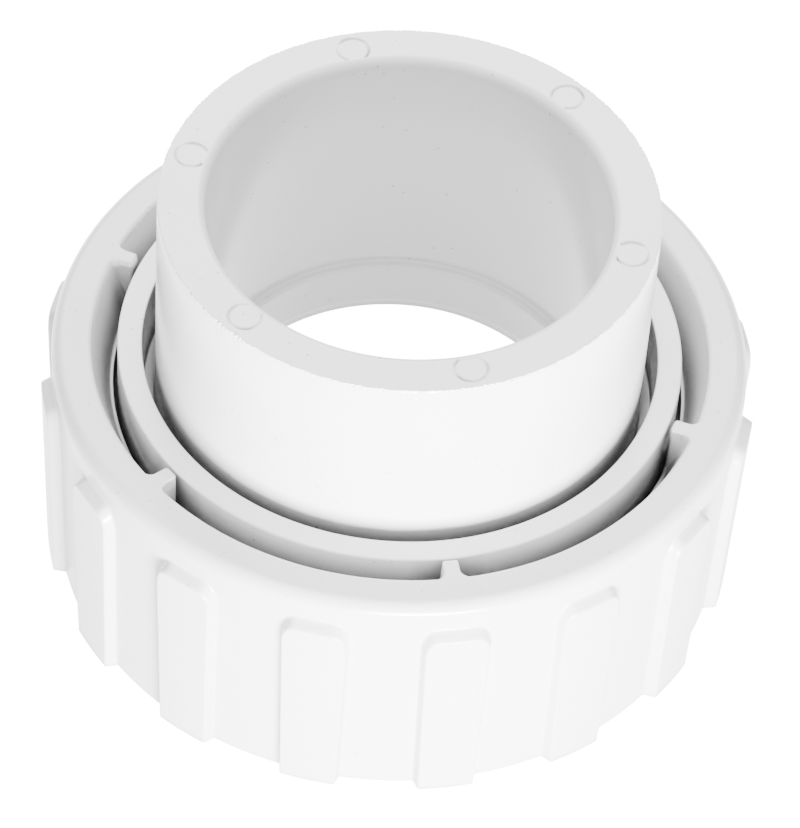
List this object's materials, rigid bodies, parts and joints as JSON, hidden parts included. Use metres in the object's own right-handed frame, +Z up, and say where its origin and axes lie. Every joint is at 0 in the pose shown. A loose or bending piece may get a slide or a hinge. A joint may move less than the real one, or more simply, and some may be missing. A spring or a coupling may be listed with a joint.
{
  "type": "pipe union half",
  "caption": "Half of a plastic pipe union: a socket tailpiece with a collar and flange, a loose ribbed coupling nut round it, and an O-ring in its sealing face.",
  "frame": {"origin": "on the pipe axis, in the plane of the nut's open end, which is the part's lowest plane", "axes": "+Z up along the pipe axis, towards the socket's mouth; -Y is the side the picture was taken from"},
  "size_m": [0.0886, 0.0886, 0.058],
  "materials": {
    "pipe_plastic": "satin moulded white PVC",
    "nut_plastic": "satin moulded white PVC",
    "seal_rubber": "matt black rubber"
  },
  "bodies": {
    "tailpiece": {"tailpiece": "pipe_plastic", "o_ring": "seal_rubber"},
    "nut": {"coupling_nut": "nut_plastic"}
  },
  "joints": [
    {"name": "nut_spin", "type": "hinge", "parent": "tailpiece", "child": "nut", "pos_m": [0, 0, 0.017], "axis": [0, 0, 1], "continuous": true}
  ]
}
